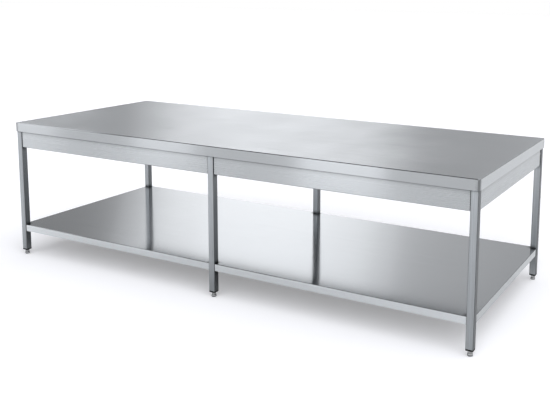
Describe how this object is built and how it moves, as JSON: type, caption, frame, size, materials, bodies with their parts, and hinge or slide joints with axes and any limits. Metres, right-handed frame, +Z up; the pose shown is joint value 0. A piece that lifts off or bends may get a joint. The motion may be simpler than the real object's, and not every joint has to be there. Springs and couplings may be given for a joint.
{
  "type": "work table",
  "caption": "Free-standing stainless steel work table with a flat banded worktop, square tube legs on levelling feet, aprons and a full lower shelf.",
  "frame": {"origin": "on the floor, under the middle of the table", "axes": "+X along the length, +Y from front to back, +Z up"},
  "size_m": [3, 1.2, 0.85],
  "materials": {
    "worktop_steel": "satin brushed along the length",
    "shelf_steel": "satin brushed along the length",
    "apron_steel": "satin brushed along the length",
    "leg_steel": "satin brushed along the tube",
    "channel_steel": "mill finish sheet",
    "core_board": "white melamine faced chipboard",
    "plug_plastic": "moulded black nylon",
    "foot_steel": "turned stainless steel",
    "fastener_steel": "bright zinc-free stainless steel"
  },
  "bodies": {
    "root": {"worktop_sheet": "worktop_steel", "shelf_sheet": "shelf_steel", "core_board_left": "core_board", "core_board_right": "core_board", "worktop_channel_front_left": "channel_steel", "worktop_channel_back_left": "channel_steel", "worktop_channel_front_right": "channel_steel", "worktop_channel_back_right": "channel_steel", "shelf_channel_front": "channel_steel", "shelf_channel_back": "channel_steel", "middle_rail": "channel_steel", "apron_front_left": "apron_steel", "apron_front_right": "apron_steel", "apron_back_left": "apron_steel", "apron_back_right": "apron_steel", "apron_left": "apron_steel", "apron_right": "apron_steel", "leg_front_left": "leg_steel", "leg_plug_front_left": "plug_plastic", "leg_front_middle": "leg_steel", "leg_plug_front_middle": "plug_plastic", "leg_front_right": "leg_steel", "leg_plug_front_right": "plug_plastic", "leg_back_left": "leg_steel", "leg_plug_back_left": "plug_plastic", "leg_back_middle": "leg_steel", "leg_plug_back_middle": "plug_plastic", "leg_back_right": "leg_steel", "leg_plug_back_right": "plug_plastic", "plug_nuts": "fastener_steel", "apron_bolts": "fastener_steel", "rail_bolts": "fastener_steel", "shelf_bolts": "fastener_steel", "frame_rivet_nuts": "fastener_steel", "shelf_rivet_nuts": "fastener_steel", "worktop_screws": "fastener_steel", "channel_screws": "fastener_steel"},
    "pad_front_left": {"foot_pad_front_left": "foot_steel"},
    "stud_front_left": {"foot_stud_front_left": "foot_steel"},
    "pad_front_middle": {"foot_pad_front_middle": "foot_steel"},
    "stud_front_middle": {"foot_stud_front_middle": "foot_steel"},
    "pad_front_right": {"foot_pad_front_right": "foot_steel"},
    "stud_front_right": {"foot_stud_front_right": "foot_steel"},
    "pad_back_left": {"foot_pad_back_left": "foot_steel"},
    "stud_back_left": {"foot_stud_back_left": "foot_steel"},
    "pad_back_middle": {"foot_pad_back_middle": "foot_steel"},
    "stud_back_middle": {"foot_stud_back_middle": "foot_steel"},
    "pad_back_right": {"foot_pad_back_right": "foot_steel"},
    "stud_back_right": {"foot_stud_back_right": "foot_steel"}
  },
  "joints": [
    {"name": "level_front_left", "type": "slide", "parent": "root", "child": "pad_front_left", "axis": [0, 0, 1], "range_m": [-0.02, 0.0035]},
    {"name": "turn_front_left", "type": "hinge", "parent": "pad_front_left", "child": "stud_front_left", "pos_m": [-1.475, -0.575, 0.0155], "axis": [0, 0, 1], "range_deg": [-4810, 850]},
    {"name": "level_front_middle", "type": "slide", "parent": "root", "child": "pad_front_middle", "axis": [0, 0, 1], "range_m": [-0.02, 0.0035]},
    {"name": "turn_front_middle", "type": "hinge", "parent": "pad_front_middle", "child": "stud_front_middle", "pos_m": [0, -0.575, 0.0155], "axis": [0, 0, 1], "range_deg": [-4810, 850]},
    {"name": "level_front_right", "type": "slide", "parent": "root", "child": "pad_front_right", "axis": [0, 0, 1], "range_m": [-0.02, 0.0035]},
    {"name": "turn_front_right", "type": "hinge", "parent": "pad_front_right", "child": "stud_front_right", "pos_m": [1.475, -0.575, 0.0155], "axis": [0, 0, 1], "range_deg": [-4810, 850]},
    {"name": "level_back_left", "type": "slide", "parent": "root", "child": "pad_back_left", "axis": [0, 0, 1], "range_m": [-0.02, 0.0035]},
    {"name": "turn_back_left", "type": "hinge", "parent": "pad_back_left", "child": "stud_back_left", "pos_m": [-1.475, 0.575, 0.0155], "axis": [0, 0, 1], "range_deg": [-4810, 850]},
    {"name": "level_back_middle", "type": "slide", "parent": "root", "child": "pad_back_middle", "axis": [0, 0, 1], "range_m": [-0.02, 0.0035]},
    {"name": "turn_back_middle", "type": "hinge", "parent": "pad_back_middle", "child": "stud_back_middle", "pos_m": [0, 0.575, 0.0155], "axis": [0, 0, 1], "range_deg": [-4810, 850]},
    {"name": "level_back_right", "type": "slide", "parent": "root", "child": "pad_back_right", "axis": [0, 0, 1], "range_m": [-0.02, 0.0035]},
    {"name": "turn_back_right", "type": "hinge", "parent": "pad_back_right", "child": "stud_back_right", "pos_m": [1.475, 0.575, 0.0155], "axis": [0, 0, 1], "range_deg": [-4810, 850]}
  ],
  "couplings": [
    {"joint": "turn_front_left", "follows": "level_front_left", "rad_per_m": 4188.8},
    {"joint": "turn_front_middle", "follows": "level_front_middle", "rad_per_m": 4188.8},
    {"joint": "turn_front_right", "follows": "level_front_right", "rad_per_m": 4188.8},
    {"joint": "turn_back_left", "follows": "level_back_left", "rad_per_m": 4188.8},
    {"joint": "turn_back_middle", "follows": "level_back_middle", "rad_per_m": 4188.8},
    {"joint": "turn_back_right", "follows": "level_back_right", "rad_per_m": 4188.8}
  ]
}
